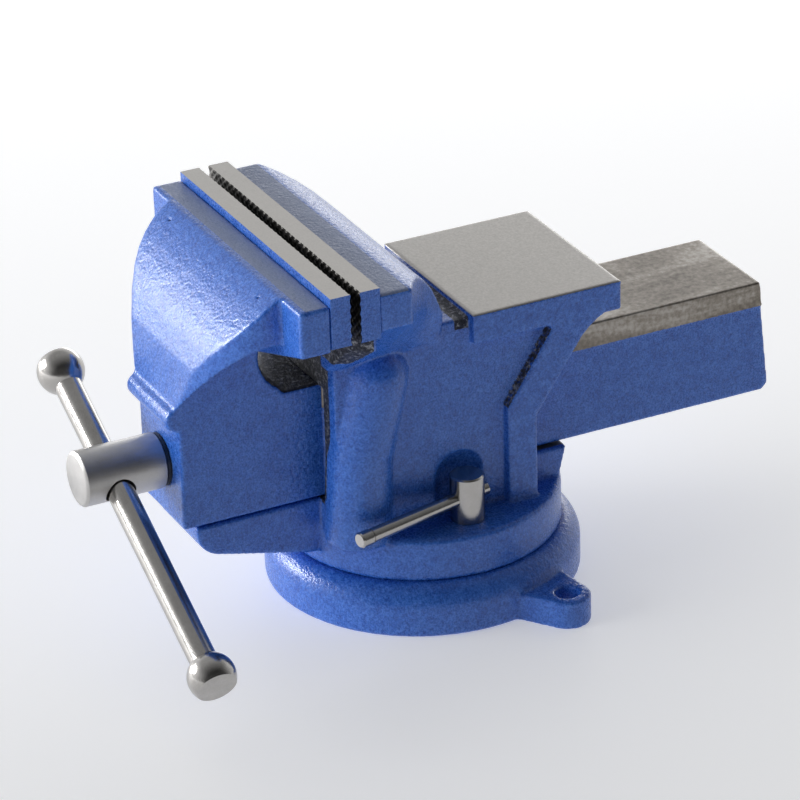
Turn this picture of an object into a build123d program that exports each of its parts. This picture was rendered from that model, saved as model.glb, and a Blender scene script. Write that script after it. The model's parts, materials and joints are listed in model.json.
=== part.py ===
"""Bench vise with a swivel base, an anvil and a sliding front jaw, all sizes in millimetres.

X runs across the jaws, +Y from the handle towards the anvil and +Z up. The origin is on the
swivel axis, on the underside of the base, in the middle of the mounting-bolt circle.
The vise stands nearly closed, with its handle bar tilted and pushed part of the way through.
"""

import os
from math import cos, radians, sin

from build123d import *

os.makedirs("parts", exist_ok=True)

# ---- driving sizes: jaws ----
jaw_width = 150.0
plate_thickness = 9.4
plate_height = 22.8
plate_proud = 3.6  # the hard plates stand above the castings
opening_at_rest = 3.6
head_thickness = 13.8  # moving casting behind its plate
seat_thickness = 14.6  # fixed casting behind its plate, at the top
jaw_rise = 61.9  # jaw casting top above the slide top
head_depth = 20.5  # height of a jaw head at its ends
block_shoulder_rise = 4.5  # the fixed head is less deep than the moving one by this
root_rise = 14.0  # the fixed jaw's slopes meet the upright this far above the slide top
hump_length = 30.0  # behind the fixed jaw's block
hump_step = 4.5  # the hump ends this far above the anvil
hump_power = 1.5
hump_shoulder_drop = 16.0
shelf_reach = 8.5  # shelf under the fixed plate, ahead of its seat
shelf_height = 7.5
shelf_gap = 0.5  # between the shelf and the fixed plate
shelf_end_insets = (13.0, 4.0)  # from the jaw's ends, at the shelf's front and at the seat
shield_edge_share = 0.76  # shield's width where it leaves the head, as a share of the jaw's
shield_reach = 1.2  # the shield stands out over the apron
shield_foot_rise = 4.3
arch_rise = 23.3  # the web meets the head this far above the slide top
arch_fall = 19.5  # and comes down by this at the shield's front
shield_flank = 0.8  # least height of the shield's side at its foot
plate_screw_spacing = 90.0
plate_screw_radius = 4.0
plate_screw_depth = 20.0
plate_screw_end_gap = 1.0
plate_hole_clearance = 0.4
socket_radius = 2.9  # six-sided socket, across its corners
countersink_radius = 8.0
countersink_recess = 0.4

# ---- driving sizes: slide and screw ----
slide_width = 53.4
web_width = 43.0  # apron and web ahead of the body, narrower than the slide
slide_height = 53.7
slide_length = 278.8
slide_end_rake = 4.8  # the rear end leans out by this much at the bottom
slide_end_chamfer = 3.0
machined_band = 11.5  # bare strip along the top of each slide side
band_step = 0.4
apron_reach = 47.3  # front of the apron ahead of the moving plate's seat
apron_wall = 22.7
throat_radius = 18.0
throat_setback = 8.8  # throat's middle behind the moving plate's seat
slide_start_gap = 3.0  # the slide's full width starts this far inside the body
bead_radius = 5.4
bead_drop = 1.4  # the bead's middle below the slide top
screw_rise = 25.0  # screw axis above the slide's underside
thread_radius = 10.0
journal_step = 0.5  # journal's radius over the thread's
screw_head_step = 1.75  # head's radius over the journal's
screw_head_length = 37.3
screw_tail = 6.0  # the screw stops this far inside the slide's end
screw_head_chamfer = 1.0
screw_end_chamfer = 2.0
washer_thickness = 1.4
washer_wall = 1.2
collar_wall = 4.0
collar_length = 9.0
collar_pin_radius = 2.0
collar_pin_recess = 0.4
nut_length = 40.0
nut_bolt_radius = 5.0
nut_bolt_recess = 6.5  # bolt seat above the flange's underside
nut_bolt_end_gap = 2.5  # the bolt stops this far below the thread
bolt_pocket_radius = 10.0
bolt_washer_radius = 9.25
bolt_washer_thickness = 2.0
bolt_head_radius = 9.0  # across its corners
bolt_head_height = 8.0

# ---- driving sizes: handle bar ----
bar_radius = 6.0
bar_tilt = 27.0  # degrees below level on the +X side
bar_reach_low = 110.7  # screw axis to the middle of the lower knob
bar_reach_high = 56.6
bar_setback = 15.7  # behind the face of the screw head
knob_radius = 10.5
knob_flat = 5.6  # knob middle to its flat outer face
bar_stud_radius = 4.5
bar_stud_long = 8.6
bar_hole_clearance = 0.9  # round the bar, in the screw's head
stud_end_gap = 0.5
knob_seat = 7.0  # knob middle to its flat inner face, where the bar's shoulder stops

# ---- driving sizes: body, flange and base ----
base_radius = 70.0
base_height = 23.3
base_wall_height = 11.0  # straight part of the base's rim, below its round shoulder
base_shoulder_width = 7.2
base_shoulder_inset = 2.3  # in from the rim, at the middle of the shoulder's round
base_shoulder_drop = 4.0  # and down from the top
base_edge_chamfer = 1.5
flange_radius = 61.8
flange_height = 19.5
flange_fillet = 2.5
upright_set_in = 2.0  # the upright's foot is sunk into the flange
floor_rise = 13.4  # slide channel floor above the flange
body_wall = 11.5
body_front_gap = 5.5  # body front ahead of the fixed plate's seat
body_back = 36.0
elbow_rise = 39.0  # the upright's rear edge starts to lean this far above the flange
strut_setback = 8.0  # tip of the leaning edge, ahead of the anvil's back
strut_knee = (14.0, 13.0)  # ahead of and below the tip, where its round begins
strut_round = (8.0, 5.5)  # ahead of and below the tip, at the middle of its round
nose_reach = 63.5  # tray under the apron, ahead of the fixed plate's seat
nose_depth = 15.0
nose_round_length = 9.0
nose_round_inset = 2.3  # in from the nose and up from its bottom, at the round's middle
nose_round_rise = 4.5
tray_heel_reach = 6.0  # the tray's underside meets the flange this far ahead of the upright
tray_heel_rise = 7.5
tray_root_depth = 20.0
tray_root_rise = 6.5
tail_wall = 3.0  # tail's half width outside the channel's
tail_reach = 57.0
tail_foot_reach = 53.0  # the tail's end leans in to the flange's rim
anvil_front = 6.3
anvil_back = 77.6
anvil_rise = 25.8  # anvil top above the slide top
anvil_thickness = 13.8
rib_width = 14.2
rib_lean = 22.8  # the front edge of the rib leans back by this below the anvil
rib_elbow_rise = 6.5
rib_proud = 4.3  # the ribs and the anvil stand out from the upright's sides
column_radius = 14.2
column_set_in = 3.2  # column axis inside the upright's side
column_foot_setback = 10.0
column_knee_setback = 12.0
column_knee_rise = 37.0  # above the flange
column_top_setback = 21.0
column_top_rise = 5.0  # above the slide top
spigot_radius = 20.0
spigot_bottom = 4.0
lip_thickness = 8.5  # roof of the T-groove in the base
groove_floor = 6.0
groove_ledge = 3.4  # the T-groove is wider than its slot by this on each side
drop_pocket_share = 1.5  # pocket for the tee nuts, over their half width
lock_shank_radius = 5.0
lock_stand_off = 7.0  # lock axis outside the upright's side
lock_head_radius = 7.6
lock_head_height = 21.4
lock_rod_radius = 3.2
lock_rod_rise = 10.8
lock_rod_long = 60.5
lock_rod_short = 10.3
lock_rod_splay = 14.0  # degrees, the rod's swing out from straight ahead
lock_head_chamfer = 0.7
lock_rod_cap_length = 5.5
lock_rod_cap_step = 0.3  # cap's radius over the rod's, and the rod's over the groove's
lock_rod_groove_length = 1.0
lock_rod_chamfer = 0.6
lock_shank_end_gap = 0.5
scallop_gap = 6.0  # round the lock's head, in the upright's side
scallop_drop = 4.0
lug_overhang = 13.0  # lug hole's centre beyond the base's rim
lug_root_half = 17.0
lug_root_inset = 8.0
lug_waist_half = 13.5
lug_waist_reach = 1.0
lug_direction = 22.0
lug_radius = 10.5
lug_thickness = 13.0
mount_hole_radius = 5.25

# ---- clearances ----
slide_clearance = 0.3
floor_clearance = 0.6
running_clearance = 0.05
thread_clearance = 0.05
face_clearance = 0.2
groove_clearance = 0.6
hole_clearance = 0.3
collar_clearance = 0.8
washer_clearance = 0.1
countersink_clearance = 0.1
join = 1.0  # shapes of one casting run into each other by this

# ---- levels ----
flange_bottom = base_height + face_clearance
flange_top = flange_bottom + flange_height
floor_level = flange_top + floor_rise
slide_bottom = floor_level + floor_clearance
slide_top = slide_bottom + slide_height
screw_level = slide_bottom + screw_rise
anvil_top = slide_top + anvil_rise
jaw_top = slide_top + jaw_rise
head_bottom = jaw_top - head_depth
plate_top = jaw_top + plate_proud
plate_bottom = plate_top - plate_height
plate_middle = plate_bottom + plate_height / 2
anvil_bottom = anvil_top - anvil_thickness
lip_bottom = base_height - lip_thickness

# ---- stations along the vise ----
fixed_seat = -52.5
moving_seat = fixed_seat - 2 * plate_thickness - opening_at_rest
head_front = moving_seat - head_thickness
apron_front = moving_seat - apron_reach
apron_back = apron_front + apron_wall
slide_end = apron_front + slide_length
body_front = fixed_seat - body_front_gap
block_back = fixed_seat + seat_thickness
screw_head_back = apron_front - 2 * face_clearance - washer_thickness
screw_head_front = screw_head_back - screw_head_length
bar_station = screw_head_front + bar_setback
collar_front = apron_back + face_clearance
screw_end = slide_end - screw_tail

# ---- widths from the middle ----
half_jaw = jaw_width / 2
half_slide = slide_width / 2
half_web = web_width / 2
half_channel = half_slide + slide_clearance
half_body = half_channel + body_wall
half_anvil = half_body + rib_proud
lock_spacing = half_body + lock_stand_off
tee_groove_radius = lock_spacing
lug_reach = base_radius + lug_overhang

# ---- the screw's parts and the hollow around them ----
journal_radius = thread_radius + journal_step
screw_head_radius = journal_radius + screw_head_step
washer_radius = journal_radius + washer_wall
collar_radius = journal_radius + collar_wall
half_hollow = collar_radius + collar_clearance
hollow_top = screw_level + half_hollow


def save(part, name):
    """Label a finished piece and write its file."""
    part.part.label = name
    export_step(part.part, f"parts/{name}.step")


def jaw_section(y, root, shoulder, crown):
    """Section across the vise at y: sloping in from the shoulder to the root, flat at the crown."""
    with BuildSketch(Plane.XZ.offset(-y)) as section:
        with BuildLine():
            Polyline(
                root,
                shoulder,
                crown,
                (-crown[0], crown[1]),
                (-shoulder[0], shoulder[1]),
                (-root[0], root[1]),
                close=True,
            )
        make_face()
    return section.sketch


# ---- swivel base: a ring with a T-groove all round and two lugs ----
slot_half = lock_shank_radius + groove_clearance
groove_half = slot_half + groove_ledge
tee_nut_half = groove_half - 2 * groove_clearance
tee_nut_height = lip_bottom - groove_floor - 2 * groove_clearance

with BuildPart() as swivel_base:
    with BuildSketch(Plane.XZ):
        with BuildLine():
            rim = Polyline(
                (spigot_radius + running_clearance, 0),
                (base_radius - base_edge_chamfer, 0),
                (base_radius, base_edge_chamfer),
                (base_radius, base_wall_height),
            )
            shoulder = ThreePointArc(
                rim @ 1,
                (base_radius - base_shoulder_inset, base_height - base_shoulder_drop),
                (base_radius - base_shoulder_width, base_height),
            )
            Polyline(
                shoulder @ 1,
                (tee_groove_radius + slot_half, base_height),
                (tee_groove_radius + slot_half, lip_bottom),
                (tee_groove_radius + groove_half, lip_bottom),
                (tee_groove_radius + groove_half, groove_floor),
                (tee_groove_radius - groove_half, groove_floor),
                (tee_groove_radius - groove_half, lip_bottom),
                (tee_groove_radius - slot_half, lip_bottom),
                (tee_groove_radius - slot_half, base_height),
                (spigot_radius + running_clearance, base_height),
                rim @ 0,
            )
        make_face()
    revolve(axis=Axis.Z)
    # pocket behind the swivel axis, where the tee nuts drop into the groove
    with BuildSketch(Plane.XY.offset(groove_floor)):
        with Locations((0, tee_groove_radius)):
            Circle(tee_nut_half * drop_pocket_share)
    extrude(amount=base_height, mode=Mode.SUBTRACT)
    for turn in (lug_direction, lug_direction + 180):
        with BuildSketch(Plane.XY.rotated((0, 0, turn))):
            with BuildLine():
                Polyline(
                    (base_radius - lug_root_inset, lug_root_half),
                    (base_radius + lug_waist_reach, lug_waist_half),
                    (lug_reach, lug_radius),
                    (lug_reach, -lug_radius),
                    (base_radius + lug_waist_reach, -lug_waist_half),
                    (base_radius - lug_root_inset, -lug_root_half),
                    close=True,
                )
            make_face()
            with Locations((lug_reach, 0)):
                Circle(lug_radius)
        extrude(amount=lug_thickness)
        with BuildSketch(Plane.XY.rotated((0, 0, turn))):
            with Locations((lug_reach, 0)):
                Circle(mount_hole_radius)
        extrude(amount=lug_thickness, mode=Mode.SUBTRACT)
save(swivel_base, "swivel_base")

# ---- vise body: flange, slide channel, anvil and fixed jaw in one casting ----
rib_front = body_back - rib_width
elbow_level = flange_top + elbow_rise
upright_foot = flange_top - upright_set_in
strut_tip = anvil_back - strut_setback
strut_bend = (strut_tip - strut_knee[0], anvil_bottom - strut_knee[1])
strut_middle = (strut_tip - strut_round[0], anvil_bottom - strut_round[1])
wall_top = anvil_top - 2.5 * join
hump_back = block_back + hump_length
hump_foot = anvil_top + hump_step
block_shoulder = head_bottom + block_shoulder_rise
root_level = slide_top + root_rise
tray_bottom = floor_level - nose_depth
nut_bolt_seat = flange_bottom + nut_bolt_recess
scallop_radius = lock_head_radius + scallop_gap
scallop_height = lock_head_height - scallop_drop

with BuildPart() as vise_body:
    # round flange and the spigot that turns in the base
    with BuildSketch(Plane.XY.offset(flange_bottom)):
        Circle(flange_radius)
    extrude(amount=flange_height)
    fillet(vise_body.edges().group_by(Axis.Z)[-1], flange_fillet)
    with BuildSketch(Plane.XY.offset(spigot_bottom)):
        Circle(spigot_radius)
    extrude(amount=flange_bottom - spigot_bottom + join)
    # upright under the jaw and the anvil, with a leaning rear edge
    with BuildSketch(Plane.YZ):
        with BuildLine():
            upright = Polyline(
                (strut_tip, anvil_bottom),
                (strut_tip, anvil_top - 3 * join),
                (anvil_front + 3 * join, anvil_top - 3 * join),
                (anvil_front, wall_top),
                (hump_back, wall_top),
                (body_front, wall_top),
                (body_front, upright_foot),
                (body_back, upright_foot),
                (body_back, elbow_level),
                strut_bend,
            )
            ThreePointArc(upright @ 1, strut_middle, upright @ 0)
        make_face()
    extrude(amount=half_body, both=True)
    # anvil block
    with BuildSketch(Plane.XY.offset(anvil_bottom)):
        with Locations((0, (anvil_front + anvil_back) / 2)):
            Rectangle(2 * half_anvil, anvil_back - anvil_front)
    extrude(amount=anvil_thickness)
    # ribs along the rear edge of the upright, flush with the anvil's sides
    with BuildSketch(Plane.YZ):
        with BuildLine():
            rib = Polyline(
                (strut_tip, anvil_bottom),
                (rib_front + rib_lean, anvil_bottom),
                (rib_front, elbow_level + rib_elbow_rise),
                (rib_front, upright_foot),
                (body_back, upright_foot),
                (body_back, elbow_level),
                strut_bend,
            )
            ThreePointArc(rib @ 1, strut_middle, rib @ 0)
        make_face()
    extrude(amount=half_anvil, both=True)
    # round columns at the front corners, bending back to the jaw
    for side in (-1, 1):
        column_x = side * (half_body - column_set_in)
        foot = Vector(column_x, body_front + column_foot_setback, upright_foot)
        knee = Vector(column_x, body_front + column_knee_setback, flange_top + column_knee_rise)
        top = Vector(column_x, body_front + column_top_setback, slide_top + column_top_rise)
        for start, end in ((foot, knee), (knee, top)):
            with BuildSketch(Plane(origin=start, z_dir=end - start)):
                Circle(column_radius)
            extrude(amount=(end - start).length)
            with Locations(end):
                Sphere(column_radius)
    # fixed jaw: a block across the top that slopes in to the upright below
    block = [
        jaw_section(y, (half_body, root_level), (half_jaw, block_shoulder), (half_jaw, jaw_top))
        for y in (fixed_seat, block_back)
    ]
    loft(block, ruled=True)
    # hump behind the block, narrowing and falling towards the anvil
    hump = []
    for t in (step / 6 for step in range(7)):
        crown = hump_foot + (jaw_top - hump_foot) * (1 - t**hump_power) ** (1 / hump_power)
        half = half_jaw - (half_jaw - half_anvil) * sin(radians(90 * t))
        level = min(block_shoulder - hump_shoulder_drop * t, crown - join)
        hump.append(
            jaw_section(
                block_back + hump_length * t, (half_body, root_level), (half, level), (half, crown)
            )
        )
    loft(hump, ruled=True)
    # shelf under the fixed plate
    shelf_top = plate_bottom - shelf_gap
    shelf = [
        jaw_section(
            y,
            (half_body, root_level),
            (half_jaw - inset, shelf_top - shelf_height),
            (half_jaw - inset, shelf_top),
        )
        for y, inset in zip((fixed_seat - shelf_reach, fixed_seat), shelf_end_insets)
    ]
    loft(shelf, ruled=True)
    # tray under the apron and the tail behind the upright
    with BuildSketch(Plane.YZ):
        with BuildLine():
            nose_front = fixed_seat - nose_reach
            tray = Polyline(
                (nose_front + nose_round_length, tray_bottom),
                (body_front - tray_heel_reach, flange_bottom + tray_heel_rise),
                (body_front + tray_root_depth, flange_bottom + tray_root_rise),
                (body_front + tray_root_depth, floor_level),
                (nose_front, floor_level),
            )
            ThreePointArc(
                tray @ 1,
                (nose_front + nose_round_inset, tray_bottom + nose_round_rise),
                tray @ 0,
            )
        make_face()
    extrude(amount=half_web, both=True)
    with BuildSketch(Plane.YZ):
        with BuildLine():
            Polyline(
                (0, upright_foot),
                (tail_foot_reach, upright_foot),
                (tail_reach, floor_level),
                (0, floor_level),
                close=True,
            )
        make_face()
    extrude(amount=half_channel + tail_wall, both=True)
    # channel for the slide, open at both ends
    with BuildSketch(Plane.YZ):
        with Locations((0, (floor_level + slide_top + slide_clearance) / 2)):
            Rectangle(3 * slide_length, slide_top + slide_clearance - floor_level)
    extrude(amount=half_channel, both=True, mode=Mode.SUBTRACT)
    # bolt hole from below for the lead nut
    with BuildSketch(Plane.XY):
        Circle(nut_bolt_radius + hole_clearance)
    extrude(amount=slide_bottom, mode=Mode.SUBTRACT)
    with BuildSketch(Plane.XY):
        Circle(bolt_pocket_radius)
    extrude(amount=nut_bolt_seat, mode=Mode.SUBTRACT)
    # lock-screw holes through the flange, and scallops in the walls beside their heads
    for side in (-1, 1):
        with BuildSketch(Plane.XY.offset(flange_bottom)):
            with Locations((side * lock_spacing, 0)):
                Circle(lock_shank_radius + hole_clearance)
        extrude(amount=flange_height, mode=Mode.SUBTRACT)
        with BuildSketch(Plane.XY.offset(flange_top)):
            with Locations((side * lock_spacing, 0)):
                Circle(scallop_radius)
        extrude(amount=scallop_height, mode=Mode.SUBTRACT)
        with Locations((side * lock_spacing, 0, flange_top + scallop_height)):
            Sphere(scallop_radius, mode=Mode.SUBTRACT)
    # tapped holes for the plate screws
    with BuildSketch(Plane.XZ.offset(-fixed_seat)):
        with Locations((-plate_screw_spacing / 2, plate_middle), (plate_screw_spacing / 2, plate_middle)):
            Circle(plate_screw_radius + thread_clearance)
    extrude(amount=-plate_screw_depth, mode=Mode.SUBTRACT)
save(vise_body, "vise_body")

# ---- moving jaw: apron, slide and jaw head in one casting ----
throat_middle = moving_seat + throat_setback
shield_front = apron_front - shield_reach
shield_foot = slide_top + shield_foot_rise
arch_level = slide_top + arch_rise
edge_half = shield_edge_share * half_jaw
slide_start = body_front + slide_start_gap

with BuildPart() as moving_jaw:
    # apron and web, seen from the side
    with BuildSketch(Plane.YZ):
        with BuildLine():
            Polyline(
                (apron_front, slide_bottom),
                (slide_start + join, slide_bottom),
                (slide_start + join, slide_top),
                (moving_seat, slide_top),
                (moving_seat, jaw_top),
                (head_front, jaw_top),
                (apron_front, shield_foot),
                close=True,
            )
        make_face()
    extrude(amount=half_web, both=True)
    # slide, which runs in the body's channel
    with BuildSketch(Plane.YZ):
        with BuildLine():
            Polyline(
                (slide_start, slide_bottom),
                (slide_end + slide_end_rake - slide_end_chamfer, slide_bottom),
                (slide_end + slide_end_rake, slide_bottom + slide_end_chamfer),
                (slide_end, slide_top),
                (slide_start, slide_top),
                close=True,
            )
        make_face()
    extrude(amount=half_slide, both=True)
    # jaw head across the full width, sloping in to the web's width below
    head = [
        jaw_section(y, (half_web, arch_level), (half_jaw, head_bottom), (half_jaw, jaw_top))
        for y in (head_front, moving_seat)
    ]
    loft(head, ruled=True)
    # shield: the front of the casting, narrowing and rounding down to the apron
    shield = []
    for t in (step / 8 for step in range(9)):
        power = 1.3 + 0.35 * t
        crown = shield_foot + (jaw_top - shield_foot) * (1 - t**power) ** (1 / power)
        half = edge_half - (edge_half - half_web) * t**2.6
        arch = min(arch_level - arch_fall * t**2.7, crown - 2 * shield_flank)
        slope = (head_bottom - arch_level) / (edge_half - half_web)
        level = min(arch + slope * (half - half_web), crown - shield_flank)
        shield.append(
            jaw_section(
                head_front + (shield_front - head_front) * t,
                (half_web, arch),
                (half + 0.01, level + 0.01),
                (half + 0.01, crown),
            )
        )
    loft(shield, ruled=True)
    # bead across the front, between the shield and the apron
    with BuildSketch(Plane.YZ):
        with Locations((apron_front, slide_top - bead_drop)):
            Circle(bead_radius)
    extrude(amount=half_web, both=True)
    # throat under the jaw
    with BuildSketch(Plane.YZ):
        with Locations((throat_middle, slide_top + throat_radius)):
            Circle(throat_radius)
        with Locations((throat_middle + throat_radius, slide_top + throat_radius)):
            Rectangle(2 * throat_radius, 2 * throat_radius)
    extrude(amount=half_jaw, both=True, mode=Mode.SUBTRACT)
    # hollow for the screw and the lead nut, open underneath and at the back
    with BuildSketch(Plane.XY.offset(slide_bottom)):
        with Locations((0, apron_back + slide_length / 2)):
            Rectangle(2 * half_hollow, slide_length)
    extrude(amount=hollow_top - slide_bottom, mode=Mode.SUBTRACT)
    # painted sides stand back a little from the machined band
    painted_height = slide_height - machined_band
    painted_middle = (slide_bottom + slide_top - machined_band) / 2
    for plane in (Plane.YZ.offset(half_slide - band_step), Plane.YZ.offset(-half_slide)):
        with BuildSketch(plane):
            with Locations((slide_start + slide_length / 2, painted_middle)):
                Rectangle(slide_length, painted_height)
        extrude(amount=band_step, mode=Mode.SUBTRACT)
    # screw bore and tapped plate-screw holes
    with BuildSketch(Plane.XZ.offset(-apron_front)):
        with Locations((0, screw_level)):
            Circle(journal_radius + running_clearance)
    extrude(amount=-apron_wall, mode=Mode.SUBTRACT)
    with BuildSketch(Plane.XZ.offset(-moving_seat)):
        with Locations((-plate_screw_spacing / 2, plate_middle), (plate_screw_spacing / 2, plate_middle)):
            Circle(plate_screw_radius + thread_clearance)
    extrude(amount=plate_screw_depth, mode=Mode.SUBTRACT)
save(moving_jaw, "moving_jaw")

# ---- jaw plates and their countersunk screws ----
# each plate: name, the seat it is screwed to, and which way its working face looks
for name, seat, facing in (("moving", moving_seat, 1), ("fixed", fixed_seat, -1)):
    face = seat + facing * plate_thickness
    with BuildPart() as jaw_plate:
        with BuildSketch(Plane.XZ.offset(-seat)):
            with Locations((0, plate_middle)):
                Rectangle(jaw_width, plate_height)
        extrude(amount=-facing * plate_thickness)
        with Locations(
            Plane(origin=(-plate_screw_spacing / 2, face, plate_middle), z_dir=(0, facing, 0)),
            Plane(origin=(plate_screw_spacing / 2, face, plate_middle), z_dir=(0, facing, 0)),
        ):
            CounterSinkHole(
                plate_screw_radius + plate_hole_clearance,
                countersink_radius + countersink_recess + countersink_clearance,
                depth=plate_thickness,
                counter_sink_angle=90,
            )
    save(jaw_plate, f"{name}_jaw_plate")

    head_height = countersink_radius - plate_screw_radius
    screw_length = plate_thickness - countersink_recess + plate_screw_depth - plate_screw_end_gap
    with BuildPart() as plate_screws:
        for x in (-plate_screw_spacing / 2, plate_screw_spacing / 2):
            screw_plane = Plane(
                origin=(x, face - facing * countersink_recess, plate_middle),
                x_dir=(1, 0, 0),
                z_dir=(0, -facing, 0),
            )
            with BuildSketch(screw_plane):
                Circle(countersink_radius)
            extrude(amount=head_height, taper=45)
            with BuildSketch(screw_plane):
                Circle(plate_screw_radius)
            extrude(amount=screw_length)
            with BuildSketch(screw_plane):
                RegularPolygon(socket_radius, 6)
            extrude(amount=head_height, mode=Mode.SUBTRACT)
    save(plate_screws, f"{name}_plate_screws")

# ---- lead screw with its head, thrust washer, collar and pin ----
with BuildPart() as lead_screw:
    with BuildSketch(Plane.YZ):
        with BuildLine():
            Polyline(
                (screw_head_front, screw_level),
                (screw_head_front, screw_level + screw_head_radius - screw_head_chamfer),
                (screw_head_front + screw_head_chamfer, screw_level + screw_head_radius),
                (screw_head_back, screw_level + screw_head_radius),
                (screw_head_back, screw_level + journal_radius),
                (collar_front + collar_length, screw_level + journal_radius),
                (collar_front + collar_length, screw_level + thread_radius),
                (screw_end - screw_end_chamfer, screw_level + thread_radius),
                (screw_end, screw_level + thread_radius - screw_end_chamfer),
                (screw_end, screw_level),
                close=True,
            )
        make_face()
    revolve(axis=Axis((0, 0, screw_level), (0, 1, 0)))
    bar_axis = Vector(cos(radians(bar_tilt)), 0, -sin(radians(bar_tilt)))
    bar_middle = Vector(0, bar_station, screw_level)
    with BuildSketch(Plane(origin=bar_middle, z_dir=bar_axis)):
        Circle(bar_radius + bar_hole_clearance)
    extrude(amount=2 * screw_head_radius, both=True, mode=Mode.SUBTRACT)
    with BuildSketch(Plane.XY.offset(screw_level)):
        with Locations((0, collar_front + collar_length / 2)):
            Circle(collar_pin_radius)
    extrude(amount=2 * thread_radius, both=True, mode=Mode.SUBTRACT)
save(lead_screw, "lead_screw")

with BuildPart() as thrust_washer:
    with BuildSketch(Plane.XZ.offset(-(apron_front - face_clearance))):
        with Locations((0, screw_level)):
            Circle(washer_radius)
            Circle(journal_radius + washer_clearance, mode=Mode.SUBTRACT)
    extrude(amount=washer_thickness)
save(thrust_washer, "thrust_washer")

with BuildPart() as retaining_collar:
    with BuildSketch(Plane.XZ.offset(-collar_front)):
        with Locations((0, screw_level)):
            Circle(collar_radius)
            Circle(journal_radius + washer_clearance, mode=Mode.SUBTRACT)
    extrude(amount=-collar_length)
    with BuildSketch(Plane.XY.offset(screw_level)):
        with Locations((0, collar_front + collar_length / 2)):
            Circle(collar_pin_radius)
    extrude(amount=2 * collar_radius, both=True, mode=Mode.SUBTRACT)
save(retaining_collar, "retaining_collar")

with BuildPart() as collar_pin:
    with BuildSketch(Plane.XY.offset(screw_level)):
        with Locations((0, collar_front + collar_length / 2)):
            Circle(collar_pin_radius)
    extrude(amount=collar_radius - collar_pin_recess, both=True)
save(collar_pin, "collar_pin")

# ---- lead nut, held to the channel floor by a bolt from below ----
nut_top = hollow_top - slide_clearance
nut_bolt_end = screw_level - thread_radius - nut_bolt_end_gap
with BuildPart() as lead_nut:
    with BuildSketch(Plane.XY.offset(floor_level)):
        Rectangle(2 * (half_hollow - slide_clearance), nut_length)
    extrude(amount=nut_top - floor_level)
    with BuildSketch(Plane.XZ.offset(nut_length / 2)):
        with Locations((0, screw_level)):
            Circle(thread_radius + thread_clearance)
    extrude(amount=-nut_length, mode=Mode.SUBTRACT)
    with BuildSketch(Plane.XY.offset(floor_level)):
        Circle(nut_bolt_radius + thread_clearance)
    extrude(amount=nut_bolt_end - floor_level + join, mode=Mode.SUBTRACT)
save(lead_nut, "lead_nut")

with BuildPart() as nut_bolt_washer:
    with BuildSketch(Plane.XY.offset(nut_bolt_seat - bolt_washer_thickness)):
        Circle(bolt_washer_radius)
        Circle(nut_bolt_radius + hole_clearance, mode=Mode.SUBTRACT)
    extrude(amount=bolt_washer_thickness)
save(nut_bolt_washer, "nut_bolt_washer")

with BuildPart() as nut_bolt:
    with BuildSketch(Plane.XY.offset(nut_bolt_seat - bolt_washer_thickness)):
        RegularPolygon(bolt_head_radius, 6)
    extrude(amount=-bolt_head_height)
    with BuildSketch(Plane.XY.offset(nut_bolt_seat - bolt_washer_thickness - join)):
        Circle(nut_bolt_radius)
    extrude(amount=nut_bolt_end - nut_bolt_seat + bolt_washer_thickness + join)
save(nut_bolt, "nut_bolt")

# ---- handle bar and its two knobs ----
with BuildPart() as tommy_bar:
    bar_end_high = -(bar_reach_high - knob_seat)
    bar_end_low = bar_reach_low - knob_seat
    high_plane = Plane(origin=bar_middle + bar_axis * bar_end_high, z_dir=bar_axis)
    low_plane = Plane(origin=bar_middle + bar_axis * bar_end_low, z_dir=bar_axis)
    with BuildSketch(high_plane):
        Circle(bar_radius)
    extrude(amount=bar_end_low - bar_end_high)
    with BuildSketch(low_plane):
        Circle(bar_stud_radius)
    extrude(amount=bar_stud_long)
    with BuildSketch(high_plane):
        Circle(bar_stud_radius)
    extrude(amount=-bar_stud_long)
save(tommy_bar, "tommy_bar")

# each knob: name, its middle's place along the bar, and which way its flat face looks
for name, reach, outward in (("upper", -bar_reach_high, -1), ("lower", bar_reach_low, 1)):
    knob_plane = Plane(origin=bar_middle + bar_axis * reach, z_dir=bar_axis * outward)
    with BuildPart() as knob:
        with Locations(knob_plane):
            Sphere(knob_radius)
        with BuildSketch(knob_plane.offset(knob_flat)):
            Circle(knob_radius)
        extrude(amount=knob_radius, mode=Mode.SUBTRACT)
        with BuildSketch(knob_plane.offset(-knob_seat)):
            Circle(bar_radius)
        extrude(amount=-knob_radius, mode=Mode.SUBTRACT)
        with BuildSketch(knob_plane.offset(-knob_seat)):
            Circle(bar_stud_radius + thread_clearance)
        extrude(amount=bar_stud_long + stud_end_gap, mode=Mode.SUBTRACT)
    save(knob, f"tommy_bar_knob_{name}")

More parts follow.
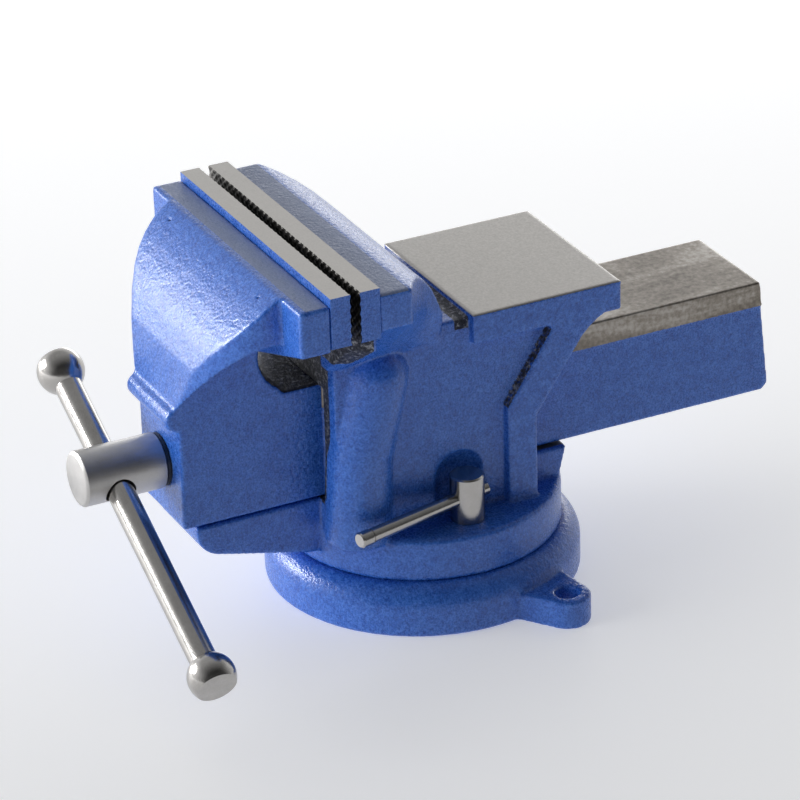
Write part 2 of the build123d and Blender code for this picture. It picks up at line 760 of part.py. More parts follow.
# ---- swivel locks: a barrel-headed screw, a rod through its head and a tee nut below ----
# each lock: name, its side of the swivel axis, and the rod's direction in degrees from +X
for name, side, heading in (("right", 1, lock_rod_splay - 90), ("left", -1, lock_rod_splay + 90)):
    head_bottom_level = flange_top + face_clearance
    tee_nut_bottom = groove_floor + groove_clearance
    rod_level = flange_top + lock_rod_rise
    rod_axis = Vector(cos(radians(heading)), sin(radians(heading)), 0)
    rod_middle = Vector(side * lock_spacing, 0, rod_level)
    rod_plane = Plane(origin=rod_middle - rod_axis * lock_rod_short, z_dir=rod_axis)
    cap_start = lock_rod_short + lock_rod_long - lock_rod_cap_length

    with BuildPart() as lock_screw:
        with BuildSketch(Plane.XY.offset(head_bottom_level)):
            with Locations((side * lock_spacing, 0)):
                Circle(lock_head_radius)
        extrude(amount=lock_head_height - face_clearance)
        chamfer(lock_screw.edges().group_by(Axis.Z)[-1], lock_head_chamfer)
        with BuildSketch(Plane.XY.offset(groove_floor + lock_shank_end_gap)):
            with Locations((side * lock_spacing, 0)):
                Circle(lock_shank_radius)
        extrude(amount=head_bottom_level - groove_floor)
        with BuildSketch(rod_plane):
            Circle(lock_rod_radius)
        extrude(amount=2 * lock_rod_long, mode=Mode.SUBTRACT)
    save(lock_screw, f"lock_screw_{name}")

    with BuildPart() as lock_rod:
        with BuildSketch(rod_plane):
            Circle(lock_rod_radius)
        extrude(amount=cap_start - lock_rod_groove_length)
        with BuildSketch(rod_plane.offset(cap_start - lock_rod_groove_length)):
            Circle(lock_rod_radius - lock_rod_cap_step)
        extrude(amount=lock_rod_groove_length)
        with BuildSketch(rod_plane.offset(cap_start)):
            Circle(lock_rod_radius + lock_rod_cap_step)
        extrude(amount=lock_rod_cap_length)
        chamfer(lock_rod.edges().sort_by(Axis(rod_plane.origin, rod_axis))[-1], lock_rod_chamfer)
    save(lock_rod, f"lock_rod_{name}")

    with BuildPart() as tee_nut:
        with BuildSketch(Plane.XY.offset(tee_nut_bottom)):
            with Locations((side * lock_spacing, 0)):
                Rectangle(2 * tee_nut_half, 2 * tee_nut_half)
                Circle(lock_shank_radius + thread_clearance, mode=Mode.SUBTRACT)
        extrude(amount=tee_nut_height)
    save(tee_nut, f"tee_nut_{name}")
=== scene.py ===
"""Looks of the bench vise: cast, painted and ground surfaces, toothed plates and a real screw thread.

All lengths are in metres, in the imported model's frame: +X across the jaws, +Y from the handle
towards the anvil, +Z up, and the origin under the swivel axis.
"""

import json
from math import cos, floor, pi, radians, sin

import bmesh
import bpy
import numpy as np
from mathutils import Matrix, Vector, noise


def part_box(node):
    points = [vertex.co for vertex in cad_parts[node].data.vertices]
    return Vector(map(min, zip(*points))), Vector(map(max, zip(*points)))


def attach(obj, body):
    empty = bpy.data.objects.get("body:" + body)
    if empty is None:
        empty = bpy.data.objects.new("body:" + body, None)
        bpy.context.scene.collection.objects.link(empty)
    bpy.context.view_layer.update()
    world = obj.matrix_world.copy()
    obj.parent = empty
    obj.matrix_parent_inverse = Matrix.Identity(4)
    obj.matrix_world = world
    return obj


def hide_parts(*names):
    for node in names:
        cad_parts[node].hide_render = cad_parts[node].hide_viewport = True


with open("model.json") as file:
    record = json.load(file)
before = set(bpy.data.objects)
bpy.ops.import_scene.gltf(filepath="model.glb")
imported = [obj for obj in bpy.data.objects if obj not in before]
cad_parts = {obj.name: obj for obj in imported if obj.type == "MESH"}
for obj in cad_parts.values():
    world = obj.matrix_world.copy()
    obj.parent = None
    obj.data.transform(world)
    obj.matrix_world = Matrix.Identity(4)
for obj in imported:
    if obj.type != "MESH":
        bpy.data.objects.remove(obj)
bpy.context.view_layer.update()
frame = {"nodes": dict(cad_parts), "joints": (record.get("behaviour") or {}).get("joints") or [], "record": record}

MM = 0.001

# ---- levels and stations, from the frame ----
mounts = {m["name"]: m for m in frame["record"]["mounts"]}
joints = {j["name"]: j for j in frame["joints"]}
anvil_top = mounts["anvil_face"]["pos_m"][2]
jaw_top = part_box("vise_body")[1].z
fixed_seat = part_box("fixed_jaw_plate")[1].y
moving_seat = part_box("moving_jaw_plate")[0].y
plate_low, plate_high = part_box("moving_jaw_plate")
screw_low, screw_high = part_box("lead_screw")
washer_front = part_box("thrust_washer")[0].y
collar_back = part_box("retaining_collar")[1].y
screw_level = (screw_low.z + screw_high.z) / 2
screw_head_radius = (screw_high.z - screw_low.z) / 2
slide_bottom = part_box("moving_jaw")[0].z
anvil_rise = 25.8 * MM  # above the slide
slide_top = anvil_top - anvil_rise
anvil_front = 6.3 * MM
anvil_bottom = anvil_top - 13.8 * MM
machined_band = 11.5 * MM
half_slide = 26.7 * MM
half_web = 21.5 * MM
half_channel = half_slide + 0.3 * MM
body_front = fixed_seat - 5.5 * MM
half_jaw = plate_high.x
half_anvil = 42.8 * MM
head_depth = 13.8 * MM
block_depth = 14.6 * MM
half_body = 38.5 * MM
rib_front = 21.8 * MM
rib_elbow = slide_top - 22 * MM
rib_slope = 22.8 / 34.2
throat_middle = moving_seat + 8.8 * MM
throat_radius = 18.0 * MM

# ---- what the finish is made of ----
VOXEL = 0.8 * MM
ROUNDING_PASSES = 4
GRAIN_SIZE = 2.6 * MM
GRAIN_DEPTH = 0.06 * MM
LUMP_DEPTH = 0.35 * MM  # of the raw, unmachined iron


def link(obj):
    """Puts a new object in the scene."""
    bpy.context.scene.collection.objects.link(obj)
    return obj


def new_mesh_object(name, vertices, faces):
    """A mesh object from plain lists."""
    mesh = bpy.data.meshes.new(name)
    mesh.from_pydata([tuple(v) for v in vertices], [], faces)
    mesh.validate()
    mesh.update()
    return link(bpy.data.objects.new(name, mesh))


def apply_modifiers(obj):
    """Turns an object's modifiers into its own mesh."""
    graph = bpy.context.evaluated_depsgraph_get()
    baked = bpy.data.meshes.new_from_object(obj.evaluated_get(graph))
    obj.modifiers.clear()
    obj.data = baked
    baked.name = obj.name
    return obj


def weld(mesh, distance=0.002 * MM):
    """Joins the vertices that lie on each other."""
    bm = bmesh.new()
    bm.from_mesh(mesh)
    bmesh.ops.remove_doubles(bm, verts=bm.verts, dist=distance)
    bm.to_mesh(mesh)
    bm.free()


def coordinates(mesh):
    co = np.empty(len(mesh.vertices) * 3)
    mesh.vertices.foreach_get("co", co)
    return co.reshape(-1, 3)


def normals(mesh):
    no = np.empty(len(mesh.vertices) * 3)
    mesh.vertices.foreach_get("normal", no)
    return no.reshape(-1, 3)


def set_attribute(mesh, name, values):
    attribute = mesh.attributes.get(name) or mesh.attributes.new(name, "FLOAT", "POINT")
    attribute.data.foreach_set("value", np.asarray(values, np.float32))


def smooth(mesh, passes, keep):
    """Rounds edges by averaging neighbours; keep is 1 where a surface is machined and stays crisp."""
    co = coordinates(mesh)
    edges = np.empty(len(mesh.edges) * 2, int)
    mesh.edges.foreach_get("vertices", edges)
    a, b = edges.reshape(-1, 2).T
    count = np.bincount(a, minlength=len(co)) + np.bincount(b, minlength=len(co))
    weight = (0.5 * (1 - keep))[:, None]
    for _ in range(passes):
        total = np.stack(
            [
                np.bincount(a, co[b, k], len(co)) + np.bincount(b, co[a, k], len(co))
                for k in range(3)
            ],
            axis=1,
        )
        co += weight * (total / count[:, None] - co)
    mesh.vertices.foreach_set("co", co.ravel())
    mesh.update()


def grain(mesh, depth):
    """Pushes the surface in and out by smooth noise; depth is an array, one value for each vertex."""
    co, no = coordinates(mesh), normals(mesh)
    fine = np.array([noise.noise(Vector(p)) for p in co / GRAIN_SIZE])
    broad = np.array([noise.noise(Vector(p)) for p in co / (6 * GRAIN_SIZE)])
    co += no * ((fine + 1.6 * broad) * depth)[:, None]
    mesh.vertices.foreach_set("co", co.ravel())
    mesh.update()


def between(values, low, high, soft=0.4 * MM):
    """1 inside the span, falling to 0 over the soft width outside it."""
    inside = np.minimum((values - low) / soft, (high - values) / soft) + 1
    return np.clip(inside, 0, 1)


def wide_to(wide, half):
    """1 nearer to the middle plane than the half width, falling to 0 outside it."""
    return between(wide, -half, half)


def casting(node, body, regions):
    """A CAD casting remade with rounded edges, hammered grain and its bare, rough and thinly painted regions, some
    of which carry painted shade and painted reflection.
    """
    source = frame["nodes"][node]
    obj = link(bpy.data.objects.new(f"{node}_casting", source.data.copy()))
    weld(obj.data)
    remesh = obj.modifiers.new("remesh", "REMESH")
    remesh.mode = "VOXEL"
    remesh.voxel_size = VOXEL
    apply_modifiers(obj)
    mesh = obj.data
    flags = regions(coordinates(mesh), normals(mesh))
    smooth(mesh, ROUNDING_PASSES, flags["crisp"])
    depth = GRAIN_DEPTH * (1 - flags["crisp"]) + LUMP_DEPTH * flags["lumps"]
    grain(mesh, depth)
    for name in ("ground", "worn", "raw_and_shade", "satin_and_reflection"):
        set_attribute(mesh, name, flags[name])
    mesh.shade_smooth()
    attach(obj, body)
    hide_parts(node)
    return obj


def within(y, z, middle, radii, soft=0.12):
    """1 inside an ellipse in the side view, falling to 0 just outside it."""
    reach = np.hypot((y - middle[0]) / radii[0], (z - middle[1]) / radii[1])
    return np.clip((1 - reach) / soft + 1, 0, 1)


def body_regions(co, no):
    """Where the vise body is ground, rough cast or thinly painted; the recess round the channel's mouth carries
    painted shade and the jaw block's top a painted reflection.
    """
    x, y, z = co.T
    wide = np.abs(x)
    up = np.clip(no[:, 2] * 2, 0, 1)
    anvil = between(z, anvil_top - 0.5 * MM, anvil_top + MM, 0.3 * MM) * up
    on_block = between(y, fixed_seat - MM, fixed_seat + block_depth - 1.5 * MM)
    # painted reflection: the jaw block's up-facing top gets a lighter grey-blue, standing for thin paint and for
    # the pale surround it reflects
    block = between(z, jaw_top - 0.6 * MM, jaw_top + MM) * up * on_block
    inside = wide_to(wide, half_channel + 0.5 * MM)
    channel = inside * between(z, slide_bottom - 2 * MM, slide_top + MM) * between(y, body_front, 1)
    rear = channel * between(y, 0, 1)
    notch = between(y, anvil_front - 7 * MM, anvil_front - 0.6 * MM)
    notch *= between(z, anvil_top - 7 * MM, anvil_top - 0.8 * MM)
    # painted shade: front faces in the recess round the channel's mouth take the dark cast-iron colour, both for
    # bare iron and for the shade in that cavity
    mouth = wide_to(wide, half_channel + 6 * MM) * between(y, -1, body_front + 22 * MM)
    mouth *= between(z, slide_bottom + 4 * MM, jaw_top - 26 * MM)
    nub = between(y, -1, fixed_seat - 1.2 * MM) * between(z, slide_top + 20 * MM, plate_low.z)
    rib_line = rib_front + np.maximum(0, (z - rib_elbow) * rib_slope)
    slope = between(y, rib_line - 2.2 * MM, rib_line + 0.3 * MM)
    slope *= between(wide, half_body + 0.2 * MM, half_anvil - 0.3 * MM)
    slope *= between(z, rib_elbow, anvil_bottom - MM)
    crisp = np.clip(between(z, anvil_top - 1.6 * MM, anvil_top + MM) + channel, 0, 1)
    raw_and_shade = np.clip(notch + mouth * (no[:, 1] < -0.4) + 0.8 * nub + 0.62 * slope, 0, 1)
    raw_and_shade = np.maximum(raw_and_shade, channel * (1 - rear))
    return dict(crisp=crisp, ground=anvil, worn=rear, raw_and_shade=raw_and_shade, satin_and_reflection=block, lumps=nub)


def jaw_regions(co, no):
    """Where the moving jaw is ground, rough cast or thinly painted; the ledge's top also carries a painted
    reflection.
    """
    x, y, z = co.T
    wide = np.abs(x)
    up = np.clip(no[:, 2] * 2, 0, 1)
    on_slide = between(y, body_front + 2 * MM, 1)
    band = between(z, slide_top - machined_band, slide_top + MM)
    # painted reflection: the ledge's up-facing top gets a lighter grey-blue, standing for thin paint and for the
    # pale surround it reflects
    ledge = between(z, jaw_top - 0.6 * MM, jaw_top + MM) * up
    ledge *= between(y, moving_seat - head_depth + 3.4 * MM, 1) * wide_to(wide, half_jaw - 1.5 * MM)
    throat = within(y, z, (throat_middle, slide_top + throat_radius), (20 * MM, 20 * MM))
    throat *= wide_to(wide, half_web + 0.5 * MM) * (np.abs(no[:, 0]) < 0.7)
    crisp = band * between(y, body_front, 1)
    lumps = throat * between(z, slide_top + 3 * MM, 1)
    return dict(crisp=crisp, ground=0 * z, worn=band * on_slide, raw_and_shade=throat, satin_and_reflection=ledge, lumps=lumps)


def lathe(name, profile, segments, centre, thread=None):
    """A solid of revolution along +Y from (station, radius) pairs; thread changes a ring's radius."""
    vertices, faces = [], []
    for y, radius in profile:
        for k in range(segments):
            angle = 2 * pi * k / segments
            own = radius if thread is None else thread(y, angle, radius)
            vertices.append((own * sin(angle), y, centre + own * cos(angle)))
    for ring in range(len(profile) - 1):
        for k in range(segments):
            a, b = ring * segments + k, ring * segments + (k + 1) % segments
            faces.append((a, b, b + segments, a + segments))
    faces.append(tuple(reversed(range(segments))))
    faces.append(tuple(range(len(vertices) - segments, len(vertices))))
    obj = new_mesh_object(name, vertices, faces)
    make_outward(obj.data)
    return obj


def make_outward(mesh):
    """Turns every face to look out of its solid."""
    bm = bmesh.new()
    bm.from_mesh(mesh)
    bmesh.ops.recalc_face_normals(bm, faces=bm.faces)
    bm.to_mesh(mesh)
    bm.free()


def cut(obj, tool):
    """Takes a closed tool object's volume out of obj and deletes the tool."""
    modifier = obj.modifiers.new("cut", "BOOLEAN")
    modifier.operation = "DIFFERENCE"
    modifier.solver = "EXACT"
    modifier.object = tool
    apply_modifiers(obj)
    bpy.data.objects.remove(tool)


def shade(obj, angle=35):
    """Smooth shading that breaks at edges sharper than the angle, in degrees."""
    obj.data.shade_smooth()
    obj.data.set_sharp_from_angle(angle=radians(angle))


def wave(value):
    """0 at whole numbers, 1 half way between them."""
    return abs(2 * (value - floor(value + 0.5)))


TOOTH_PITCH = 3.1 * MM
TOOTH_DEPTH = 0.8 * MM
PLATE_PAINT, PLATE_TOP, PLATE_TEETH = 0, 1, 2  # material slots


def toothed_plate(name, body, facing):
    """A jaw plate whose working face is cut into pyramids by crossed diagonal grooves."""
    low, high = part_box(f"{name}_jaw_plate")
    face, seat = (high.y, low.y) if facing > 0 else (low.y, high.y)
    step = TOOTH_PITCH * 2**0.5 / 6
    across, down = round((high.x - low.x) / step), round((high.z - low.z) / step)
    vertices, faces = [], []
    for layer in (0, 1):
        for j in range(down + 1):
            z = low.z + (high.z - low.z) * j / down
            for i in range(across + 1):
                x = low.x + (high.x - low.x) * i / across
                if layer:
                    vertices.append((x, seat, z))
                    continue
                u, v = (x + z) / (TOOTH_PITCH * 2**0.5), (x - z) / (TOOTH_PITCH * 2**0.5)
                rise = 1 - max(wave(u), wave(v))
                vertices.append((x, face - facing * TOOTH_DEPTH * (1 - rise), z))
    row, sheet = across + 1, (across + 1) * (down + 1)
    for j in range(down):
        for i in range(across):
            a = j * row + i
            faces.append((a, a + 1, a + row + 1, a + row))
            faces.append((sheet + a, sheet + a + row, sheet + a + row + 1, sheet + a + 1))
    rim = [*range(row), *range(2 * row - 1, sheet, row)]
    rim += [*range(sheet - 2, sheet - row - 1, -1), *range(sheet - 2 * row, 0, -row)]
    for a, b in zip(rim, rim[1:] + rim[:1]):
        faces.append((a, b, b + sheet, a + sheet))
    obj = new_mesh_object(f"{name}_plate_toothed", vertices, faces)
    make_outward(obj.data)
    screw_low, screw_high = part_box(f"{name}_plate_screws")
    head = (screw_high.z - screw_low.z) / 2
    spacing = (screw_high.x - screw_low.x) / 2 - head
    middle = (low.z + high.z) / 2
    reach = high.y - low.y
    for side in (-1, 1):
        mouth = head + 0.5 * MM
        shank = head / 2 + 0.4 * MM
        stations = ((0.5 * MM, mouth + 0.5 * MM), (shank - mouth, shank), (-reach - MM, shank))
        profile = [(face + facing * along, radius) for along, radius in stations]
        tool = lathe("plate_drill", sorted(profile), 40, middle)
        tool.data.transform(Matrix.Translation((side * spacing, 0, 0)))
        cut(obj, tool)
    shade(obj, 20)
    for material in (painted, ground_steel, dark_steel):
        obj.data.materials.append(material)
    for polygon in obj.data.polygons:
        on_top = polygon.center.z > high.z - 0.01 * MM
        off_seat = abs(polygon.center.y - seat) > 0.01 * MM
        toothed = off_seat and max(abs(polygon.normal.x), abs(polygon.normal.z)) < 0.98
        polygon.material_index = PLATE_TOP if on_top else PLATE_TEETH if toothed else PLATE_PAINT
    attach(obj, body)
    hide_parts(f"{name}_jaw_plate")
    return obj


def threaded_screw():
    """The lead screw: head with the bar's hole, journal, and a right-hand trapezoidal thread."""
    lead = 5.0 * MM
    crest = 10.0 * MM
    root = 7.9 * MM
    journal = 10.5 * MM
    head_back = washer_front - 0.2 * MM
    start, end = collar_back, screw_high.y

    def thread(y, angle, radius):
        if y <= start + 0.05 * MM:
            return radius
        flank = (wave(y / lead - angle / (2 * pi)) - 0.34) / 0.32
        own = root + (crest - root) * min(1, max(0, flank))
        return min(own, crest - max(0, y - end + 2 * MM))

    profile = [
        (screw_low.y, screw_head_radius - 1.6 * MM),
        (screw_low.y + 0.3 * MM, screw_head_radius - 0.8 * MM),
        (screw_low.y + 1.2 * MM, screw_head_radius),
        (head_back - 0.6 * MM, screw_head_radius),
        (head_back, screw_head_radius - 0.6 * MM),
        (head_back + 0.02 * MM, journal),
        (start, journal),
    ]
    turns = lead / 12
    count = int((end - start) / turns)
    profile += [(start + (end - start) * (k + 1) / count, crest) for k in range(count)]
    obj = lathe("lead_screw_threaded", profile, 48, screw_level, thread)
    bar_low, bar_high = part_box("tommy_bar")
    axis = Vector(joints["bar_slide"]["axis"]).normalized()
    station = (bar_low.y + bar_high.y) / 2
    clearance = 0.9 * MM
    bore = (bar_high.y - bar_low.y) / 2 + clearance
    drill = lathe("bar_drill", [(-30 * MM, bore), (30 * MM, bore)], 48, 0)
    turn = Vector((0, 1, 0)).rotation_difference(axis).to_matrix().to_4x4()
    drill.data.transform(Matrix.Translation((0, station, screw_level)) @ turn)
    cut(obj, drill)
    shade(obj, 30)
    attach(obj, "screw")
    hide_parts("lead_screw")
    return obj


def base_regions(co, no):
    """The swivel base is painted all over."""
    plain = np.zeros(len(co))
    return dict(crisp=plain, ground=plain, worn=plain, raw_and_shade=plain, satin_and_reflection=plain, lumps=plain)


# ---- materials ----
class Nodes:
    """A small helper to write a material's node tree."""

    def __init__(self, name):
        self.material = bpy.data.materials.new(name)
        self.material.use_nodes = True
        self.tree = self.material.node_tree
        self.tree.nodes.clear()
        output = self.tree.nodes.new("ShaderNodeOutputMaterial")
        self.shader = self.tree.nodes.new("ShaderNodeBsdfPrincipled")
        self.tree.links.new(self.shader.outputs[0], output.inputs[0])
        self.object_point = self.tree.nodes.new("ShaderNodeTexCoord").outputs["Object"]

    def connect(self, value, socket):
        """Sets a socket from a number, a colour or another node's output."""
        if isinstance(value, bpy.types.NodeSocket):
            self.tree.links.new(value, socket)
        else:
            socket.default_value = value

    def math(self, operation, a, b=0.0, clamp=False):
        node = self.tree.nodes.new("ShaderNodeMath")
        node.operation = operation
        node.use_clamp = clamp
        self.connect(a, node.inputs[0])
        self.connect(b, node.inputs[1])
        return node.outputs[0]

    def stretch(self, scale):
        """Object coordinates, scaled along each axis."""
        node = self.tree.nodes.new("ShaderNodeMapping")
        self.tree.links.new(self.object_point, node.inputs["Vector"])
        node.inputs["Scale"].default_value = scale
        return node.outputs[0]

    def noise(self, size, detail=2.0, roughness=0.5, point=None, distortion=0.0):
        """Noise whose features are about size metres across."""
        node = self.tree.nodes.new("ShaderNodeTexNoise")
        self.tree.links.new(point or self.object_point, node.inputs["Vector"])
        node.inputs["Scale"].default_value = 1 / size
        node.inputs["Detail"].default_value = detail
        node.inputs["Roughness"].default_value = roughness
        node.inputs["Distortion"].default_value = distortion
        return node.outputs["Fac"]

    def ramp(self, value, stops):
        """A colour ramp from (place, grey or colour) stops."""
        node = self.tree.nodes.new("ShaderNodeValToRGB")
        self.connect(value, node.inputs[0])
        elements = node.color_ramp.elements
        while len(elements) < len(stops):
            elements.new(0.5)
        for element, (place, colour) in zip(elements, stops):
            element.position = place
            full = (colour,) * 3 if isinstance(colour, (int, float)) else colour
            element.color = (*full, 1)
        return node.outputs[0]

    def mix(self, factor, a, b):
        node = self.tree.nodes.new("ShaderNodeMix")
        node.data_type = "RGBA"
        self.connect(factor, node.inputs[0])
        self.connect(a, node.inputs[6])
        self.connect(b, node.inputs[7])
        return node.outputs[2]

    def blend_number(self, factor, a, b):
        node = self.tree.nodes.new("ShaderNodeMix")
        self.connect(factor, node.inputs[0])
        self.connect(a, node.inputs[2])
        self.connect(b, node.inputs[3])
        return node.outputs[0]

    def attribute(self, name):
        node = self.tree.nodes.new("ShaderNodeAttribute")
        node.attribute_name = name
        return node.outputs["Fac"]

    def bump(self, height, distance, strength=1.0, after=None):
        node = self.tree.nodes.new("ShaderNodeBump")
        node.inputs["Distance"].default_value = distance
        self.connect(strength, node.inputs["Strength"])
        self.connect(height, node.inputs["Height"])
        if after is not None:
            self.tree.links.new(after, node.inputs["Normal"])
        return node.outputs[0]

    def finish(self, colour, roughness, metallic, normal):
        self.connect(colour, self.shader.inputs["Base Color"])
        self.connect(roughness, self.shader.inputs["Roughness"])
        self.connect(metallic, self.shader.inputs["Metallic"])
        self.connect(normal, self.shader.inputs["Normal"])
        return self.material


def casting_material():
    """Hammered blue enamel, with ground, worn, rough cast and thinly painted regions read from the mesh; the dark
    cast-iron colour also serves as painted shade, and the thin paint carries a painted reflection.
    """
    n = Nodes("hammered_blue")
    fleck = n.noise(0.8 * MM, 3.0, 0.65)
    blotch = n.noise(6 * MM, 2.0, 0.5)
    hammer = n.noise(1.5 * MM, 2.0, 0.45)
    tint = n.math("ADD", n.math("MULTIPLY", fleck, 0.5), n.math("MULTIPLY", hammer, 0.35))
    tint = n.math("ADD", tint, n.math("MULTIPLY", blotch, 0.15))
    paint = n.ramp(
        tint,
        [(0.36, (0.010, 0.070, 0.38)), (0.5, (0.033, 0.145, 0.58)), (0.64, (0.085, 0.24, 0.76))],
    )
    paint_rough = n.ramp(fleck, [(0.35, 0.22), (0.65, 0.34)])
    # the regions' edges are broken up by noise
    ragged = n.math("MULTIPLY", n.math("SUBTRACT", n.noise(1.6 * MM, 3.0, 0.6), 0.5), 0.9)
    masks = {}
    for name in ("ground", "worn", "raw_and_shade", "satin_and_reflection"):
        raised = n.math("ADD", n.attribute(name), ragged)
        masks[name] = n.math("MULTIPLY", n.math("SUBTRACT", raised, 0.45), 6.0, clamp=True)
    # lighter grey-blue of the thinly painted tops, with a painted reflection of the pale surround
    satin_and_reflection = n.ramp(fleck, [(0.35, (0.12, 0.175, 0.34)), (0.65, (0.23, 0.29, 0.46))])
    scratch = n.noise(1.0 * MM, 4.0, 0.65)
    steel = n.ramp(scratch, [(0.3, (0.36, 0.343, 0.32)), (0.7, (0.49, 0.472, 0.445))])
    smear = n.noise(20 * MM, 4.0, 0.6, n.stretch((1.0, 0.3, 2.2)), 0.8)
    mottle = n.noise(2.2 * MM, 3.0, 0.6)
    film = n.math("ADD", n.math("MULTIPLY", smear, 0.6), n.math("MULTIPLY", mottle, 0.4))
    oiled = n.ramp(
        film, [(0.34, (0.12, 0.102, 0.085)), (0.5, (0.265, 0.238, 0.205)), (0.64, (0.45, 0.42, 0.385))]
    )
    grit = n.noise(2.0 * MM, 5.0, 0.75)
    # dark cast iron, also laid on as painted shade in the recess round the body's channel mouth
    dark_iron_and_shade = n.ramp(
        grit, [(0.40, (0.008, 0.009, 0.014)), (0.53, (0.05, 0.055, 0.075)), (0.64, (0.5, 0.51, 0.54))]
    )
    colour, rough, metal = paint, paint_rough, 0.0
    for name, own_colour, own_rough, own_metal in (
        ("satin_and_reflection", satin_and_reflection, 0.42, 0.0),
        ("raw_and_shade", dark_iron_and_shade, 0.34, 0.3),
        ("worn", oiled, 0.4, 0.85),
        ("ground", steel, 0.45, 0.85),
    ):
        colour = n.mix(masks[name], colour, own_colour)
        rough = n.blend_number(masks[name], rough, own_rough)
        metal = n.blend_number(masks[name], metal, own_metal)
    lumpy = n.math("SUBTRACT", 1.0, n.math("MAXIMUM", masks["ground"], masks["worn"]))
    height = n.math("ADD", hammer, n.math("MULTIPLY", fleck, 0.35))
    first = n.bump(height, 0.26 * MM, lumpy)
    second = n.bump(grit, 1.6 * MM, masks["raw_and_shade"], first)
    third = n.bump(scratch, 0.03 * MM, 1.0, second)
    n.shader.inputs["Specular IOR Level"].default_value = 0.6
    return n.finish(colour, rough, metal, third)


def steel_material(name, dark, light, roughness, grain_size, stretch=(1.0, 1.0, 1.0)):
    """Bare steel with tool marks; stretch makes the marks run along an axis."""
    n = Nodes(name)
    marks = n.noise(grain_size, 4.0, 0.6, n.stretch(stretch))
    stain = n.noise(9 * MM, 3.0, 0.6)
    both = n.math("ADD", n.math("MULTIPLY", marks, 0.6), n.math("MULTIPLY", stain, 0.4))
    colour = n.ramp(both, [(0.32, dark), (0.68, light)])
    rough = n.ramp(both, [(0.3, roughness * 0.8), (0.7, roughness * 1.25)])
    return n.finish(colour, rough, 1.0, n.bump(marks, 0.04 * MM, 0.6))


def dress(obj, material):
    """Gives an object one material."""
    obj.data.materials.clear()
    obj.data.materials.append(material)


painted = casting_material()
ground_steel = steel_material("ground_steel", (0.36, 0.345, 0.325), (0.50, 0.485, 0.46), 0.45, 0.8 * MM)
bright_steel = steel_material("turned_steel", (0.38, 0.365, 0.345), (0.54, 0.525, 0.505), 0.19, 0.45 * MM)
brushed_steel = steel_material("brushed_steel", (0.44, 0.43, 0.42), (0.60, 0.59, 0.58), 0.42, 0.3 * MM)
dark_steel = steel_material("oiled_steel", (0.05, 0.048, 0.045), (0.14, 0.135, 0.13), 0.4, 1.0 * MM)
grey_iron = steel_material("grey_iron", (0.09, 0.085, 0.08), (0.2, 0.19, 0.18), 0.55, 1.2 * MM)

body_cast = casting("vise_body", "body", body_regions)
jaw_cast = casting("moving_jaw", "jaw", jaw_regions)
base_cast = casting("swivel_base", "base", base_regions)
for cast in (body_cast, jaw_cast, base_cast):
    dress(cast, painted)

node_materials = {
    "ground_steel": ground_steel,
    "bright_steel": bright_steel,
    "dark_steel": dark_steel,
    "grey_iron": grey_iron,
}
toothed_plate("moving", "jaw", 1)
toothed_plate("fixed", "body", -1)
dress(threaded_screw(), brushed_steel)
slots = {s["node"]: s["material_slot"] for s in frame["record"]["subparts"]}
for node, obj in frame["nodes"].items():
    if slots[node] in node_materials:
        dress(obj, node_materials[slots[node]])


# ---- camera, floor and light ----
def add_camera():
    """The camera looks down on the handle side, along its own right and up axes."""
    right = Vector((0.4459, 0.8946, -0.0275))
    up = Vector((-0.3881, 0.2209, 0.8948))
    back = right.cross(up)
    data = bpy.data.cameras.new("camera")
    data.lens = 196.5
    data.sensor_width = 36.0
    data.clip_start = 0.05
    data.clip_end = 50
    obj = link(bpy.data.objects.new("camera", data))
    turn = Matrix((right, up, back)).transposed().to_4x4()
    obj.matrix_world = Matrix.Translation((1.531308, -0.745996, 0.928026)) @ turn
    bpy.context.scene.camera = obj
    return obj


def add_floor():
    """A pale sheet with painted light: its colour gets brighter away from the camera and beyond the handle, and it
    glows, more brightly away from the camera and most on the handle's side.
    """
    half = 6.0
    corners = [(-half, -half, 0), (half, -half, 0), (half, half, 0), (-half, half, 0)]
    obj = new_mesh_object("floor", corners, [(0, 1, 2, 3)])
    n = Nodes("pale_floor")
    split = n.tree.nodes.new("ShaderNodeSeparateXYZ")
    n.connect(n.object_point, split.inputs[0])
    away = n.math("MULTIPLY", split.outputs["X"], -0.9)
    away = n.math("ADD", away, n.math("MULTIPLY", split.outputs["Y"], 0.43))
    place = n.math("MULTIPLY", n.math("ADD", away, 0.6), 1 / 1.4, clamp=True)
    # painted light: the floor's colour is darker towards the camera and lighter away from it, standing in for the
    # fall of light
    tones = [(0.0, (0.64, 0.645, 0.66)), (0.45, (0.76, 0.765, 0.775)), (1.0, (0.86, 0.86, 0.86))]
    painted_falloff = n.ramp(place, tones)
    # painted light: the floor glows, brighter away from the camera and brightest on the handle's side, where its
    # glow lights the front of the jaw
    glow = n.ramp(place, [(0.2, 0.58), (0.9, 1.0)])
    flare = n.math("MULTIPLY", n.math("ADD", split.outputs["Y"], 0.3), -1.1, clamp=True)
    n.connect(n.mix(flare, glow, (1.7, 1.7, 1.72, 1)), n.shader.inputs["Emission Color"])
    n.shader.inputs["Emission Strength"].default_value = 0.56
    dress(obj, n.finish(painted_falloff, 0.6, 0.0, n.bump(n.noise(2 * MM), 0.02 * MM, 0.3)))
    return obj


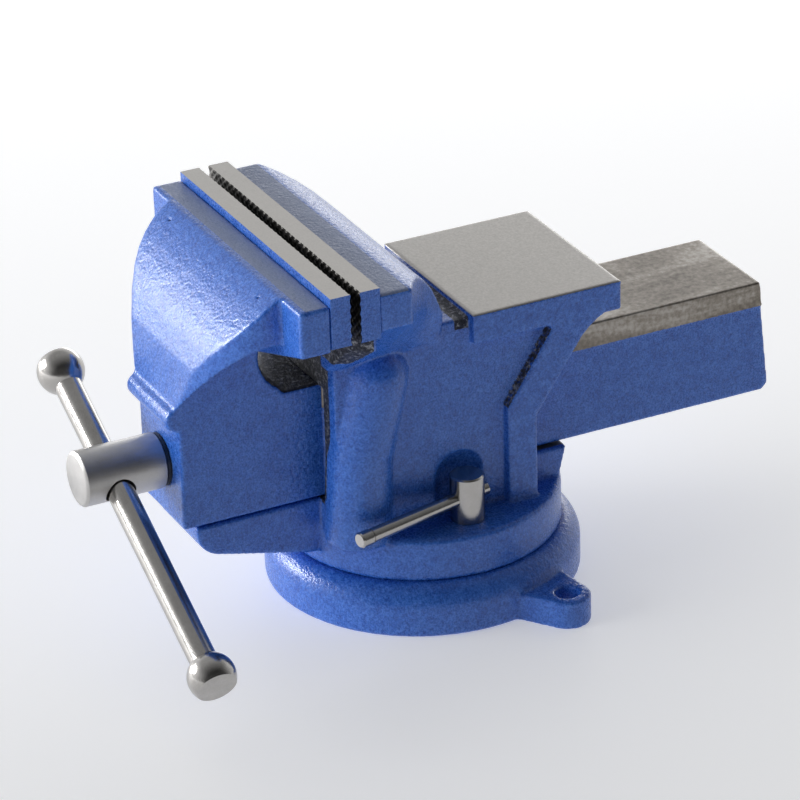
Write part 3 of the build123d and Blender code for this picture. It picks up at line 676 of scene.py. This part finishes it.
def add_area(name, place, aim, size, watts, diffuse=True, glossy=True):
    """A soft rectangular light that faces its aim point."""
    data = bpy.data.lights.new(name, "AREA")
    data.shape = "RECTANGLE"
    data.size, data.size_y = size
    data.energy = watts
    obj = link(bpy.data.objects.new(name, data))
    obj.visible_camera = False
    obj.visible_diffuse = diffuse
    obj.visible_glossy = glossy
    direction = Vector(aim) - Vector(place)
    obj.matrix_world = Matrix.Translation(place) @ direction.to_track_quat("-Z", "Y").to_matrix().to_4x4()
    return obj


def add_world(strength, zenith, near):
    """A pale surround, darker overhead and on the side that the lock looks towards."""
    world = bpy.data.worlds.new("studio")
    bpy.context.scene.world = world
    world.use_nodes = True
    tree = world.node_tree
    direction = tree.nodes.new("ShaderNodeTexCoord").outputs["Generated"]
    split = tree.nodes.new("ShaderNodeSeparateXYZ")
    tree.links.new(direction, split.inputs[0])
    product = tree.nodes.new("ShaderNodeMath")
    product.operation = "MULTIPLY"
    spans = (("Z", 0.42, 0.75, 1.0, zenith), ("X", -0.3, 0.6, 1.0, near))
    for socket, (axis, start, end, before, after) in zip(product.inputs, spans):
        ramp = tree.nodes.new("ShaderNodeMapRange")
        tree.links.new(split.outputs[axis], ramp.inputs["Value"])
        ramp.inputs["From Min"].default_value = start
        ramp.inputs["From Max"].default_value = end
        ramp.inputs["To Min"].default_value = before
        ramp.inputs["To Max"].default_value = after
        tree.links.new(ramp.outputs[0], socket)
    scale = tree.nodes.new("ShaderNodeMath")
    scale.operation = "MULTIPLY"
    scale.inputs[1].default_value = strength
    tree.links.new(product.outputs[0], scale.inputs[0])
    background = tree.nodes["Background"]
    background.inputs[0].default_value = (0.97, 0.98, 1.0, 1)
    tree.links.new(scale.outputs[0], background.inputs[1])


add_camera()
add_floor()
add_world(1.0, 0.45, 0.08)
middle = (0.0, 0.0, 0.08)
# the key lights the paint; the glints and the rim show only as reflections
add_area("key", (-0.5, -2.3, 0.65), middle, (1.8, 1.0), 33, glossy=False)
add_area("glint", (-1.3, -1.65, 0.76), middle, (0.9, 0.42), 40, diffuse=False)
add_area("low_glint", (-2.0, -1.45, 0.12), middle, (1.2, 0.35), 9, diffuse=False)
add_area("rim", (-2.2, 1.6, 0.4), middle, (2.0, 0.6), 12, diffuse=False)
bpy.context.scene.view_settings.view_transform = "Standard"
